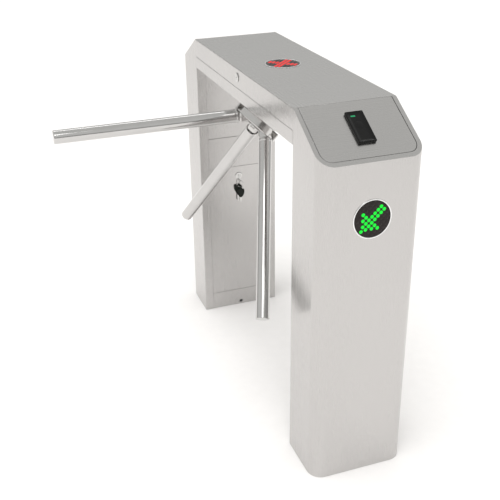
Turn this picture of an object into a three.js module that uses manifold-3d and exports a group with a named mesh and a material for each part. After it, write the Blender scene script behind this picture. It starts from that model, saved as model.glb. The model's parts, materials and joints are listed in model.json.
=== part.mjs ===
// Tripod turnstile for a visitor entrance: a stainless bridge cabinet on two pillars,
// with a three-armed rotor hanging under the middle of its beam.
// Millimetres, +Z up. X runs across the cabinet (the lane is on -X), Y along it.
import * as THREE from 'three';
import { mergeVertices } from 'three/addons/utils/BufferGeometryUtils.js';
import Module from 'manifold-3d';

const wasm = await Module();
wasm.setup();

// ---- driving dimensions -------------------------------------------------------------------

const WIDTH = 280;             // cabinet, across the lane
const LENGTH = 1170;           // cabinet, along the lane
const HEIGHT = 1020;           // floor to lid
const CORNER_R = 40;           // vertical corners at the two ends
const PILLAR_DEPTH = 170;      // along the lane; the end slopes are as long
const SLOPE_DROP = 99;         // end slopes, measured down
const SHEET = 2;               // stainless sheet
const GAP = 0.3;               // seams between separate pieces
const RETURN = 30;             // folded edge of a pillar's open side
const LEDGE = 8;                // width of the jamb's ledge

const BEAM_BOTTOM = 925;       // underside of the beam
const BAND_BOTTOM = 963;       // seam between the shell's band and the beam tray
const MID_PANEL_BOTTOM = 561;
const MID_PANEL_TOP = 672.5;
const DOOR_BOTTOM = 65;
const FOLD = 12;               // folded lip round a door
const BORDER = 12;             // shell border left round each slope panel
const BASE_THICK = 6;

const DISPLAY_R = 49;          // lens of each signal lamp
const DISPLAY_Z = 774;         // end lamps
const READER = { width: 48, length: 100, height: 9, upSlope: 107, x: 3 };

const ARM_R = 19;
const ARM_WALL = 2;
const ARM_LENGTH = 617;        // from the point where the three arm axes meet
const APEX = new THREE.Vector3(-54, 0, 881.7);
const TILT = Math.PI / 4;      // rotor axis below the horizontal, and arms off that axis
const HUB_R = 75;

// Stations along the rotor axis, measured from the apex towards the floor.
const HUB_NEAR = 25;
const HUB_FAR = 51;
const SHAFT_TOP = -158;
const PLATE_LOW = -98;         // tilted mechanism plate
const PLATE_HIGH = -104;
const CAM_LOW = -108;
const INDEX_LOW = -123;        // index disc, under the locking pawls
const INDEX_HIGH = -131;
const SENSOR_LOW = -150;
const SENSOR_HIGH = -151.5;
const SENSOR_R = 32;

const SHAFT_R = 15;
const BEARING_BORE = 15.1;
const PRESSED_BORE = 15.35;    // bore of a part clamped on the shaft
const HOUSING_R = 30;
const INDEX_R = 50;
const CAM_R = 34;              // mean radius of the three-lobed centring cam
const CAM_LIFT = 3;

const PAWL_PIVOT = [40, 60];   // in the plane of the index disc
const PAWL_SWING = THREE.MathUtils.degToRad(12);
const [WEB_INNER, WEB_OUTER] = [2, 10];  // pawl's web, off the line through its pivot
const PLUNGER_X = -18;
const LEVER_PIVOT = [-22, 62];
const LEVER_ROLLER = [12, 51.5];
const POST_R = 5;
const POST_BORE = 5.15;

const LID_LOCK_Z = 994;
const LID_CAM_REACH = 20;
const LID_HEM = 3;             // the lid's shallow lip on the lane side, above the lock's cam
const DOOR_LOCK_Z = 525;
const DOOR_CAM_REACH = 48;
const LOCK_R = 8;
const LOCK_FACE_R = 13.5;
const KEY_RING = { x: 1, y: 403, z: 498, radius: 13, wire: 0.9 };

const ROUND = 36;              // segments of a full circle
const FINE = 16;               // segments of a small one

const HALF_W = WIDTH / 2;
const HALF_L = LENGTH / 2;
const INNER_Y = HALF_L - PILLAR_DEPTH;
const SLOPE_ANGLE = Math.atan2(SLOPE_DROP, PILLAR_DEPTH);
const SLOPE_LENGTH = Math.hypot(SLOPE_DROP, PILLAR_DEPTH);
const LID_UNDERSIDE = HEIGHT - SHEET;
const DISPLAY_HOLE_R = DISPLAY_R + 2.3;
const JAMB_Y = -INNER_Y - FOLD - GAP;  // face of the ledge behind the door's lips

// The arm that lies across the lane reaches furthest from the cabinet. The whole model is
// shifted so that its origin is the middle of its own footprint.
const LANE_REACH = ARM_LENGTH - APEX.x;
const CABINET_X = (LANE_REACH - HALF_W) / 2;

// ---- materials ----------------------------------------------------------------------------

const finish = (color, roughness, metalness) =>
  new THREE.MeshStandardMaterial({ color, roughness, metalness });
const brushed = () => finish(0xc9c7c4, 0.38, 1);
const polished = () => finish(0xdcdcdc, 0.12, 1);
const plated = () => finish(0x9aa0a3, 0.45, 1);
const blackPlastic = () => finish(0x16171a, 0.35, 0);
const darkLens = () => finish(0x1b1a1c, 0.12, 0);
const circuitGreen = () => finish(0x1f5a38, 0.6, 0);
const aluminium = () => finish(0xb9bcbd, 0.5, 0.2);

// ---- geometry helpers ---------------------------------------------------------------------

// The same surface with shared corners and no collapsed triangles.
function welded(geometry) {
  const bare = new THREE.BufferGeometry();
  bare.setAttribute('position', geometry.getAttribute('position').clone());
  if (geometry.index) bare.setIndex(geometry.index.clone());
  const merged = mergeVertices(bare, 1e-4);
  const kept = [];
  const index = merged.index.array;
  for (let i = 0; i < index.length; i += 3) {
    const [a, b, c] = [index[i], index[i + 1], index[i + 2]];
    if (a !== b && b !== c && c !== a) kept.push(a, b, c);
  }
  merged.setIndex(kept);
  return merged;
}

function solid(geometry) {
  const merged = welded(geometry);
  return new wasm.Manifold(new wasm.Mesh({
    numProp: 3,
    vertProperties: new Float32Array(merged.getAttribute('position').array),
    triVerts: new Uint32Array(merged.index.array),
  }));
}

function geometryOf(manifold) {
  const mesh = manifold.getMesh();
  const geometry = new THREE.BufferGeometry();
  geometry.setAttribute('position', new THREE.BufferAttribute(mesh.vertProperties, 3));
  geometry.setIndex(new THREE.BufferAttribute(mesh.triVerts, 1));
  return geometry;
}

const join = (...geometries) =>
  geometryOf(geometries.map(solid).reduce((sum, item) => sum.add(item)));
const cut = (first, ...tools) =>
  geometryOf(tools.map(solid).reduce((sum, item) => sum.subtract(item), solid(first)));
const common = (first, second) => geometryOf(solid(first).intersect(solid(second)));

// A box between two corners.
function block(x0, x1, y0, y1, z0, z1) {
  return new THREE.BoxGeometry(x1 - x0, y1 - y0, z1 - z0)
    .translate((x0 + x1) / 2, (y0 + y1) / 2, (z0 + z1) / 2);
}

// A flat outline in X and Y, raised from z0 to z1.
function raised(shape, z0, z1, curveSegments = 6) {
  const settings = { depth: z1 - z0, bevelEnabled: false, curveSegments };
  return new THREE.ExtrudeGeometry(shape, settings).translate(0, 0, z0);
}

// A round bar along Z.
function bar(radius, z0, z1, x = 0, y = 0, segments = ROUND) {
  return new THREE.CylinderGeometry(radius, radius, z1 - z0, segments)
    .rotateX(Math.PI / 2).translate(x, y, (z0 + z1) / 2);
}

// A round bar along Y, at x and z.
const barAlongY = (radius, y0, y1, x, z, segments = FINE) =>
  bar(radius, y0, y1, 0, 0, segments).rotateX(-Math.PI / 2).translate(x, 0, z);

// A round bar along X, at y and z.
const barAlongX = (radius, x0, x1, y, z, segments = FINE) =>
  bar(radius, x0, x1, 0, 0, segments).rotateY(Math.PI / 2).translate(0, y, z);

// A body turned about Z from (radius, z) points, given from low to high on the outside.
function turned(points, segments = ROUND) {
  const profile = points.map(([radius, z]) => new THREE.Vector2(radius, z));
  return new THREE.LatheGeometry(profile, segments).rotateX(Math.PI / 2);
}

const ring = (inner, outer, z0, z1, segments = ROUND) =>
  turned([[inner, z0], [outer, z0], [outer, z1], [inner, z1], [inner, z0]], segments);

// A rectangle whose -Y corners have a radius.
function plate(x0, x1, y0, y1, radius) {
  const shape = new THREE.Shape();
  shape.moveTo(x1, y1);
  shape.lineTo(x0, y1);
  shape.lineTo(x0, y0 + radius);
  shape.absarc(x0 + radius, y0 + radius, radius, Math.PI, 1.5 * Math.PI, false);
  shape.absarc(x1 - radius, y0 + radius, radius, 1.5 * Math.PI, 2 * Math.PI, false);
  shape.closePath();
  return shape;
}

function roundedRectangle(halfX, halfY, radius) {
  const shape = new THREE.Shape();
  const corners = [[1, -1, -0.5], [1, 1, 0], [-1, 1, 0.5], [-1, -1, 1]];
  for (const [sx, sy, quarter] of corners) {
    const from = quarter * Math.PI;
    shape.absarc(sx * (halfX - radius), sy * (halfY - radius), radius, from, from + Math.PI / 2);
  }
  shape.closePath();
  return shape;
}

// ---- frames of reference ------------------------------------------------------------------

const cabinet = new THREE.Group();
cabinet.position.x = CABINET_X;
const turnstile = new THREE.Group();
turnstile.add(cabinet);

// Rotor frame: origin at the apex, +Z along the axis towards the floor, +X up and outward.
const rotorMatrix = new THREE.Matrix4().makeRotationY(-Math.PI / 2 - TILT).setPosition(APEX);
const rotorFrame = new THREE.Group();
rotorFrame.applyMatrix4(rotorMatrix);
cabinet.add(rotorFrame);
const onRotorAxis = (geometry) => geometry.applyMatrix4(rotorMatrix);

// Slope frame of the near end: origin on the bend, +Y up the slope, +Z off the surface.
const slopeMatrix = new THREE.Matrix4().makeRotationX(SLOPE_ANGLE)
  .setPosition(0, -INNER_Y, HEIGHT);
const onSlope = (geometry) => geometry.applyMatrix4(slopeMatrix);

// Everything at one end is modelled at -Y, and the far end is the same turned half round.
const ENDS = { near: 0, far: Math.PI };

function piece(name, geometry, material, parent = cabinet) {
  const mesh = new THREE.Mesh(welded(geometry), material);
  mesh.name = name;
  parent.add(mesh);
}

// ---- welded shell, beam tray and base plates ----------------------------------------------

// Plan of one pillar: three walls with rounded corners, and each side folded round into a
// jamb, whose ledge is what the door's lips close against.
function pillarPlan() {
  const shape = new THREE.Shape();
  const inner = CORNER_R - SHEET;
  const [jamb, ledge] = [HALF_W - RETURN, HALF_W - RETURN - LEDGE];
  const [stop, stopBack] = [JAMB_Y, JAMB_Y - SHEET];
  const [cx, cy] = [HALF_W - CORNER_R, -HALF_L + CORNER_R];
  const [face, back] = [-INNER_Y, -INNER_Y - SHEET];
  shape.moveTo(-jamb, face);
  shape.lineTo(-HALF_W, face);
  shape.absarc(-cx, cy, CORNER_R, Math.PI, 1.5 * Math.PI, false);
  shape.absarc(cx, cy, CORNER_R, 1.5 * Math.PI, 2 * Math.PI, false);
  shape.lineTo(HALF_W, face);
  shape.lineTo(jamb, face);
  shape.lineTo(jamb, stop);
  shape.lineTo(ledge, stop);
  shape.lineTo(ledge, stopBack);
  shape.lineTo(jamb + SHEET, stopBack);
  shape.lineTo(jamb + SHEET, back);
  shape.lineTo(HALF_W - SHEET, back);
  shape.absarc(cx, cy, inner, 2 * Math.PI, 1.5 * Math.PI, true);
  shape.absarc(-cx, cy, inner, 1.5 * Math.PI, Math.PI, true);
  shape.lineTo(-HALF_W + SHEET, back);
  shape.lineTo(-jamb - SHEET, back);
  shape.lineTo(-jamb - SHEET, stopBack);
  shape.lineTo(-ledge, stopBack);
  shape.lineTo(-ledge, stop);
  shape.lineTo(-jamb, stop);
  shape.closePath();
  return shape;
}

// Everything inside the cabinet's outer side view.
function sideEnvelope() {
  const low = HEIGHT - SLOPE_DROP;
  const outline = [[-HALF_L, 0], [HALF_L, 0], [HALF_L, low], [INNER_Y, HEIGHT],
    [-INNER_Y, HEIGHT], [-HALF_L, low]];
  const shape = new THREE.Shape(outline.map(([y, z]) => new THREE.Vector2(y, z)));
  return raised(shape, -HALF_W, HALF_W)
    .rotateX(Math.PI / 2).rotateZ(Math.PI / 2);
}

const slopeSlab = (under = 0, over = 0) =>
  onSlope(block(-HALF_W, HALF_W, -SLOPE_LENGTH - FOLD, FOLD, -SHEET - under, over));

function slopeOpening() {
  const outline = plate(-HALF_W + BORDER, HALF_W - BORDER, -HALF_L + BORDER,
    -INNER_Y + BORDER, CORNER_R - BORDER);
  return common(slopeSlab(GAP, FOLD), raised(outline, 0, 2 * HEIGHT));
}

function slopeBorder() {
  const outer = raised(plate(-HALF_W, HALF_W, -HALF_L, -INNER_Y, CORNER_R), 0, HEIGHT);
  return common(slopeSlab(), outer);
}

function lampHoleAtEnd(radius) {
  return barAlongY(radius, -HALF_L - FOLD, -HALF_L + FOLD, 0, DISPLAY_Z, ROUND);
}

function shell() {
  const parts = [];
  for (const turn of Object.values(ENDS)) {
    parts.push(raised(pillarPlan(), 0, HEIGHT).rotateZ(turn), slopeBorder().rotateZ(turn));
    parts.push(block(-HALF_W, -HALF_W + SHEET, -INNER_Y - SHEET, INNER_Y + SHEET,
      BAND_BOTTOM + GAP, HEIGHT).rotateZ(turn));
  }
  const lidSpace = block(-WIDTH, WIDTH, -INNER_Y, INNER_Y, LID_UNDERSIDE - GAP, 2 * HEIGHT);
  const lockHole = barAlongX(LOCK_R + GAP, -WIDTH, -HALF_W + FOLD, 0, LID_LOCK_Z);
  const endHoles = Object.values(ENDS).flatMap((turn) =>
    [lampHoleAtEnd(DISPLAY_HOLE_R).rotateZ(turn), slopeOpening().rotateZ(turn)]);
  return cut(common(join(...parts), sideEnvelope()), lidSpace, lockHole, ...endHoles);
}

function beamTray() {
  const y = INNER_Y - GAP;
  const skirtTop = BAND_BOTTOM - GAP;
  const channel = join(
    block(-HALF_W, HALF_W, -y, y, BEAM_BOTTOM, BEAM_BOTTOM + SHEET),
    block(-HALF_W, -HALF_W + SHEET, -y, y, BEAM_BOTTOM, skirtTop),
    block(HALF_W - SHEET, HALF_W, -y, y, BEAM_BOTTOM, skirtTop));
  return cut(channel, onRotorAxis(bar(HOUSING_R + 3, PLATE_HIGH, 0)));
}

// Floor plate inside a pillar, with four anchor holes and a cable opening.
const ANCHORS = [[-105, -545], [105, -545], [-105, -455], [105, -455]];
const CABLE_OPENING = { halfX: 45, halfY: 25, y: -500 };

function basePlate() {
  const inset = SHEET + GAP;
  const outline = plate(-HALF_W + inset, HALF_W - inset, -HALF_L + inset,
    JAMB_Y - inset, CORNER_R - inset);
  const anchorHoles = ANCHORS.map(([x, y]) => bar(7, -1, BASE_THICK + 1, x, y, FINE));
  const { halfX, halfY, y } = CABLE_OPENING;
  const cableOpening = block(-halfX, halfX, y - halfY, y + halfY, -1, BASE_THICK + 1);
  return cut(raised(outline, 0, BASE_THICK), cableOpening, ...anchorHoles);
}

piece('cabinet_shell', shell(), brushed());
piece('beam_tray', beamTray(), brushed());

// ---- panels closing the inner side of each pillar -----------------------------------------

const PANEL_HALF_W = HALF_W - RETURN - GAP;
const PANEL_FACE = -INNER_Y;
const PANEL_BACK = -INNER_Y - SHEET;

const innerPanel = (z0, z1) =>
  block(-PANEL_HALF_W, PANEL_HALF_W, PANEL_BACK, PANEL_FACE, z0 + GAP, z1 - GAP);

function kickPanel() {
  const cableHole = barAlongY(6, PANEL_BACK - 1, PANEL_FACE + 1, 0, 12);
  return cut(innerPanel(-GAP, DOOR_BOTTOM), cableHole);
}

// A shallow folded pan. Its top lip is notched so that the lock's cam can turn upward.
const DOOR_TOP = MID_PANEL_BOTTOM - GAP;
const DOOR_HALF_W = PANEL_HALF_W - GAP;

function serviceDoor() {
  const floor = DOOR_BOTTOM + GAP;
  const lipBack = PANEL_FACE - FOLD;
  return cut(
    block(-DOOR_HALF_W, DOOR_HALF_W, lipBack, PANEL_FACE, floor, DOOR_TOP),
    block(-DOOR_HALF_W + SHEET, DOOR_HALF_W - SHEET, lipBack - 1, PANEL_BACK,
      floor + SHEET, DOOR_TOP - SHEET),
    block(-8, DOOR_CAM_REACH - 4, lipBack - 1, PANEL_BACK, DOOR_TOP - FOLD, DOOR_TOP + 1),
    barAlongY(LOCK_R + GAP, PANEL_BACK - 1, PANEL_FACE + 1, 0, DOOR_LOCK_Z));
}

// The stud that the key ring hangs on.
function keyStud() {
  const { x, y, z, radius, wire } = KEY_RING;
  const studR = 1.5;
  const studZ = z + radius - wire - studR - GAP;
  return join(
    barAlongY(studR, -INNER_Y - 1, -y + 5, -x, studZ),
    barAlongY(2 * studR, -y + 5, -y + 6.5, -x, studZ));
}

const farDoor = () => join(serviceDoor(), keyStud());

// ---- cam locks ----------------------------------------------------------------------------

// Barrel with a domed face, along +Z, its face plane at z = 0. A slot takes the key.
function lockBarrel(depth) {
  const body = turned([[0, -depth], [LOCK_R, -depth], [LOCK_R, GAP], [LOCK_FACE_R, GAP],
    [LOCK_FACE_R, 1.5], [LOCK_FACE_R - 1.5, 2.5], [0, 2.5]], 24);
  return cut(body, block(-1, 1, -4.5, 4.5, -6, 3));
}

// Flat cam clamped round a barrel, its tongue along +Y.
function lockCam(reach, top) {
  const blank = join(bar(LOCK_R + 4, top - 2.5, top, 0, 0, FINE),
    block(-5, 5, 0, reach, top - 2.5, top));
  return cut(blank, bar(LOCK_R + GAP, top - 4, top + 2, 0, 0, FINE));
}

// Puts a lock on the inner face of the near pillar, with the cam's tongue sideways.
const onPillarFace = (geometry) => geometry.rotateZ(-Math.PI / 2)
  .applyMatrix4(new THREE.Matrix4().makeRotationX(-Math.PI / 2))
  .translate(0, PANEL_FACE, DOOR_LOCK_Z);

// Puts the lid's lock on the lane side, with the cam's tongue up, clear of the lid's hook.
const onLaneSide = (geometry) => geometry.rotateY(-Math.PI / 2).rotateX(Math.PI / 2)
  .translate(-HALF_W, 0, LID_LOCK_Z);

// ---- signal lamps -------------------------------------------------------------------------

// Each lamp looks along +Z from a sheet whose outer face is at z = 0.
const LAMP = {
  bezel: [() => turned([[DISPLAY_R + GAP, -8], [DISPLAY_R + 2, -8], [DISPLAY_R + 2, GAP],
    [DISPLAY_R + 3.5, GAP], [DISPLAY_R + 3.5, 0.8], [DISPLAY_R + 2.8, 1.4],
    [DISPLAY_R + GAP, 1.4], [DISPLAY_R + GAP, -8]]), plated],
  lens: [() => bar(DISPLAY_R, -3, 1), darkLens],
  board: [() => bar(DISPLAY_R - 2, -7, -5.5), circuitGreen],
};

function signalLamp(name, place) {
  for (const [part, [shape, material]] of Object.entries(LAMP)) {
    piece(`${name}_${part}`, place(shape()), material());
  }
}

// ---- slope panels and card readers --------------------------------------------------------

function slopePanel() {
  const inset = BORDER + GAP;
  const outline = plate(-HALF_W + inset, HALF_W - inset, -HALF_L + inset, -INNER_Y - GAP / 2,
    CORNER_R - inset);
  return common(slopeSlab(), raised(outline, 0, 2 * HEIGHT));
}

function cardReader() {
  const { width, length, height, upSlope, x } = READER;
  const foot = raised(roundedRectangle(width / 2, length / 2, 5), GAP, height - 3, 4);
  const dome = raised(roundedRectangle(width / 2 - 3, length / 2 - 3, 4), 1, height, 4);
  return join(foot, dome).translate(x, upSlope - SLOPE_LENGTH, 0);
}

// ---- both ends ----------------------------------------------------------------------------

for (const [end, turn] of Object.entries(ENDS)) {
  const at = (geometry) => geometry.rotateZ(turn);
  piece(`${end}_base_plate`, at(basePlate()), plated());
  piece(`${end}_upper_panel`, at(innerPanel(MID_PANEL_TOP, BEAM_BOTTOM)), brushed());
  piece(`${end}_mid_panel`, at(innerPanel(MID_PANEL_BOTTOM, MID_PANEL_TOP)), brushed());
  piece(`${end}_kick_panel`, at(kickPanel()), brushed());
  piece(`${end}_door`, at(end === 'far' ? farDoor() : serviceDoor()), brushed());
  piece(`${end}_door_lock`, at(onPillarFace(lockBarrel(14))), polished());
  piece(`${end}_door_cam`, at(onPillarFace(lockCam(DOOR_CAM_REACH, -SHEET - 0.5))), plated());
  piece(`${end}_slope_panel`, at(slopePanel()), brushed());
  piece(`${end}_reader`, at(onSlope(cardReader())), blackPlastic());
  signalLamp(`${end}_lamp`, (geometry) =>
    at(geometry.rotateX(Math.PI / 2).translate(0, -HALF_L, DISPLAY_Z)));
}

// ---- lid ----------------------------------------------------------------------------------

const LIP_Z = LID_UNDERSIDE - 11;

// The lip on the lane side is notched where the lock's cam turns.
function lid() {
  const y = INNER_Y - GAP;
  const lipY = INNER_Y - 15;
  const sheet = cut(block(-HALF_W, HALF_W, -y, y, LID_UNDERSIDE, HEIGHT),
    bar(DISPLAY_HOLE_R, LID_UNDERSIDE - 1, HEIGHT + 1));
  return join(sheet,
    block(-HALF_W + 3.2, -HALF_W + 5.2, -lipY, lipY, LID_UNDERSIDE - LID_HEM, LID_UNDERSIDE + 1),
    block(HALF_W - 5.2, HALF_W - 3.2, -lipY, lipY, LIP_Z, LID_UNDERSIDE + 1));
}

// Strap under the lid whose foot the lock's cam turns over.
function lidHook() {
  const strap = -HALF_W + 6.5;
  const footZ = LID_LOCK_Z - 10;
  return join(
    block(strap, strap + SHEET, 14, 26, footZ, LID_UNDERSIDE - GAP),
    block(-HALF_W + 3, strap + SHEET, 14, 26, footZ, footZ + SHEET));
}

piece('top_lid', lid(), brushed());
piece('lid_hook', lidHook(), plated());
piece('lid_lock', onLaneSide(lockBarrel(12)), polished());
piece('lid_cam', onLaneSide(lockCam(LID_CAM_REACH, -3.5)), plated());
signalLamp('top_lamp', (geometry) => geometry.translate(0, 0, HEIGHT));

// ---- keys ---------------------------------------------------------------------------------

// Bow with a ring hole at the origin and a blade hanging down -Z; thickness along Y.
function key() {
  const bow = new THREE.Shape();
  bow.moveTo(-11, 5);
  bow.quadraticCurveTo(0, 8, 11, 5);
  bow.quadraticCurveTo(16, 3, 15, -6);
  bow.quadraticCurveTo(13, -22, 4, -32);
  bow.lineTo(-4, -32);
  bow.quadraticCurveTo(-13, -22, -15, -6);
  bow.quadraticCurveTo(-16, 3, -11, 5);
  const upright = (geometry) => geometry.rotateX(Math.PI / 2);
  const blade = upright(raised(new THREE.Shape([[-4, -31], [-4, -54], [0, -58], [4, -54],
    [4, -31]].map(([x, z]) => new THREE.Vector2(x, z))), -0.9, 0.9));
  const ringHole = barAlongY(4.4, -3, 3, 0, 0, 16);
  return cut(join(upright(raised(bow, -1.3, 1.3, 6)), blade), ringHole);
}

// A point on the ring wire, turned by an angle from its lowest point towards the far door.
function onKeyRing(angle) {
  const { x, y, z, radius } = KEY_RING;
  const across = radius * Math.sin(angle) * Math.SQRT1_2;
  return [x - across, y + across, z - radius * Math.cos(angle)];
}

const { x: ringX, y: ringY, z: ringZ, radius: ringR, wire } = KEY_RING;
piece('key_ring', new THREE.TorusGeometry(ringR, wire, 6, 24)
  .rotateX(Math.PI / 2).rotateZ(-Math.PI / 4).translate(ringX, ringY, ringZ), polished());
piece('key_1', key().translate(...onKeyRing(Math.PI / 5)), blackPlastic());
piece('key_2', key().translate(...onKeyRing(-Math.PI / 15)), blackPlastic());

// ---- rotor --------------------------------------------------------------------------------

const ARM_TURNS = [0, 1, 2].map((k) => k * 2 * Math.PI / 3);

function hub() {
  const body = turned([[PRESSED_BORE, HUB_NEAR], [HUB_R - 3, HUB_NEAR],
    [HUB_R, HUB_NEAR + 3], [HUB_R, HUB_FAR - 3], [HUB_R - 3, HUB_FAR],
    [PRESSED_BORE, HUB_FAR], [PRESSED_BORE, HUB_NEAR]], 48);
  const slots = ARM_TURNS.map((turn) =>
    block(24, HUB_R + 5, -17, 17, HUB_NEAR - 5, HUB_FAR + 5).rotateZ(turn));
  return cut(body, ...slots);
}

// Knuckle in the hub's slot, a collar, and the tube with its closed tip and a vent in its root.
function arm(turn) {
  const ventR = 3;
  const knuckle = common(block(-ARM_R, ARM_R, -15.5, 15.5, 53.5, 84), bar(22, 50, 90));
  const collarR = ARM_R + 1.5;
  const tube = turned([[0, 80], [ARM_R - 4, 80], [ARM_R - 4, 87], [collarR, 88], [collarR, 94],
    [ARM_R, 95.5], [ARM_R, ARM_LENGTH - 2], [ARM_R - 2, ARM_LENGTH], [0, ARM_LENGTH]], 32);
  const bore = bar(ARM_R - ARM_WALL, 96, ARM_LENGTH - 3);
  return cut(join(knuckle, tube), bore, bar(ventR, 50, 97)).rotateY(TILT).rotateZ(turn);
}

function hubCap() {
  const hexagon = bar(9, HUB_FAR + 4, HUB_FAR + 10, 0, 0, 6);
  return join(bar(22, HUB_FAR + GAP, HUB_FAR + 5, 0, 0), hexagon);
}

function mainShaft() {
  return turned([[0, SHAFT_TOP], [SHAFT_R - 1, SHAFT_TOP], [SHAFT_R, SHAFT_TOP + 1],
    [SHAFT_R, HUB_FAR], [0, HUB_FAR]]);
}

const ROTOR_BORE = bar(PRESSED_BORE, INDEX_HIGH - 1, CAM_LOW + 1);

// Wheel with six pawl notches.
function indexDisc() {
  const notches = [0, 1, 2, 3, 4, 5].map((k) =>
    block(INDEX_R - 9, INDEX_R + 5, -7, 7, INDEX_HIGH - 1, INDEX_LOW + 1)
      .rotateZ(Math.PI / 6 + k * Math.PI / 3));
  return cut(bar(INDEX_R, INDEX_HIGH, INDEX_LOW), ROTOR_BORE, ...notches);
}

// Three-lobed cam under the index disc, with a hollow facing the roller at rest.
function centringCam() {
  const rollerAngle = Math.atan2(LEVER_ROLLER[1], LEVER_ROLLER[0]);
  const lobes = [];
  for (let i = 0; i < ROUND; i += 1) {
    const angle = i * 2 * Math.PI / ROUND;
    const radius = CAM_R - CAM_LIFT * Math.cos(3 * (angle - rollerAngle));
    lobes.push(new THREE.Vector2(radius * Math.cos(angle), radius * Math.sin(angle)));
  }
  return cut(raised(new THREE.Shape(lobes), INDEX_LOW + GAP, CAM_LOW), ROTOR_BORE);
}

function sensorDisc() {
  const windows = [0, 1, 2, 3, 4, 5].map((k) =>
    block(SENSOR_R - 10, SENSOR_R - 4, -4, 4, SENSOR_HIGH - 1, SENSOR_LOW + 1).rotateZ(k * Math.PI / 3));
  return cut(bar(SENSOR_R, SENSOR_HIGH, SENSOR_LOW),
    bar(PRESSED_BORE, SENSOR_HIGH - 1, SENSOR_LOW + 1), ...windows);
}

piece('hub_disc', hub(), polished(), rotorFrame);
piece('hub_cap', hubCap(), polished(), rotorFrame);
piece('main_shaft', mainShaft(), plated(), rotorFrame);
piece('index_disc', indexDisc(), plated(), rotorFrame);
piece('centring_cam', centringCam(), plated(), rotorFrame);
piece('sensor_disc', sensorDisc(), plated(), rotorFrame);
ARM_TURNS.forEach((turn, k) => piece(`arm_${k + 1}`, arm(turn), polished(), rotorFrame));

// ---- fixed mechanism ----------------------------------------------------------------------

// Tilted plate on two cheeks that stand on the tray, with the pivot posts on it.
function mechanismFrame() {
  const [pawlX, pawlY] = PAWL_PIVOT;
  const foot = BEAM_BOTTOM + SHEET + GAP;
  const reach = 150;
  const parts = [
    onRotorAxis(block(-28, 78, -reach, reach, PLATE_HIGH, PLATE_LOW)),
    onRotorAxis(bar(POST_R, INDEX_HIGH - 3, PLATE_HIGH + 1, pawlX, pawlY, FINE)),
    onRotorAxis(bar(POST_R, INDEX_HIGH - 3, PLATE_HIGH + 1, pawlX, -pawlY, FINE)),
    onRotorAxis(bar(POST_R, INDEX_LOW + 1, PLATE_HIGH + 1, ...LEVER_PIVOT, FINE)),
  ];
  const cheek = new THREE.Shape([[-60, foot], [41, foot], [-35, 1003], [-60, 1003]]
    .map(([x, z]) => new THREE.Vector2(x, z)));
  for (const side of [-1, 1]) {
    const [inner, outer] = [side * (reach - 5), side * reach].sort((a, b) => a - b);
    parts.push(raised(cheek, -outer, -inner).rotateX(Math.PI / 2));
    const toe = [side * (reach - 5), side * (reach + 25)].sort((a, b) => a - b);
    parts.push(block(-60, 41, ...toe, foot, foot + 4));
  }
  const shaftHole = onRotorAxis(bar(SHAFT_R + 2, PLATE_HIGH - 1, PLATE_LOW + 1));
  return cut(join(...parts), shaftHole);
}

// Tube that carries the shaft down through the tray, with a bearing seat at each end.
function bearingHousing() {
  const top = PLATE_LOW + GAP;
  const [seat, bore, end] = [26, 17, 14];
  const tube = turned([[seat, top], [HOUSING_R, top], [HOUSING_R, end], [seat, end],
    [seat, 0.5], [bore, 0.5], [bore, top + 14], [seat, top + 14], [seat, top]]);
  const flange = cut(block(-22, 44, -46, 46, top, top + 8), bar(28, top - 1, top + 9));
  return join(tube, flange);
}

const bearing = (z0) => ring(BEARING_BORE, 25.7, z0, z0 + 13);

// Solenoid along +Y with a blind bore for its plunger.
function solenoid() {
  const z = (INDEX_LOW + INDEX_HIGH) / 2;
  return cut(
    block(PLUNGER_X - 15, PLUNGER_X + 15, 84, 134, z - 15, PLATE_HIGH - GAP),
    barAlongY(5.3, 80, 118, PLUNGER_X, z));
}

// Its slim nose pushes on the pawl's web.
function plunger() {
  const z = (INDEX_LOW + INDEX_HIGH) / 2;
  const nose = PAWL_PIVOT[1] + WEB_OUTER + 0.5;
  return join(barAlongY(5, nose + 4, 112, PLUNGER_X, z),
    barAlongY(2.5, nose, nose + 5, PLUNGER_X, z));
}

// Lever with a tooth that fits a notch once the pawl has swung in. Its web stands off the
// line through the pivot, so that it stays outside the index disc.
function pawl() {
  const [x, y] = PAWL_PIVOT;
  const tooth = block(-4.5, 4.5, 43, 57, INDEX_HIGH, INDEX_LOW)
    .translate(-x, -y, 0).rotateZ(-PAWL_SWING).translate(x, y, 0);
  return cut(
    join(block(-26, x, y + WEB_INNER, y + WEB_OUTER, INDEX_HIGH, INDEX_LOW),
      bar(9, INDEX_HIGH, INDEX_LOW, x, y, FINE), tooth),
    bar(POST_BORE, INDEX_HIGH - 1, INDEX_LOW + 1, x, y, FINE));
}

// The -Y copy of a mechanism part is its mirror image.
function mirrored(geometry) {
  const copy = welded(geometry).scale(1, -1, 1);
  const index = copy.index.array;
  for (let i = 0; i < index.length; i += 3) {
    [index[i + 1], index[i + 2]] = [index[i + 2], index[i + 1]];
  }
  return copy;
}

const LEVER_HIGH = -121;
const ROLLER_HIGH = -115.5;
const ROLLER_LOW = -108.5;

// Sprung lever with the pin of the centring roller.
function centringLever() {
  const [x0, y0] = LEVER_PIVOT;
  const [x1, y1] = LEVER_ROLLER;
  const low = ROLLER_HIGH - 0.5;
  const length = Math.hypot(x1 - x0, y1 - y0);
  const web = block(0, length, -5, 5, LEVER_HIGH, low)
    .rotateZ(Math.atan2(y1 - y0, x1 - x0)).translate(x0, y0, 0);
  return cut(
    join(web, bar(9, LEVER_HIGH, low, x0, y0, FINE), bar(5, LEVER_HIGH, low, x1, y1, FINE),
      bar(3, low - 1, ROLLER_LOW + 1, x1, y1, FINE)),
    bar(POST_BORE, LEVER_HIGH - 1, low + 1, x0, y0, FINE));
}

function centringRoller() {
  return ring(3.1, 8, ROLLER_HIGH, ROLLER_LOW, FINE).translate(...LEVER_ROLLER, 0);
}

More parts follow.
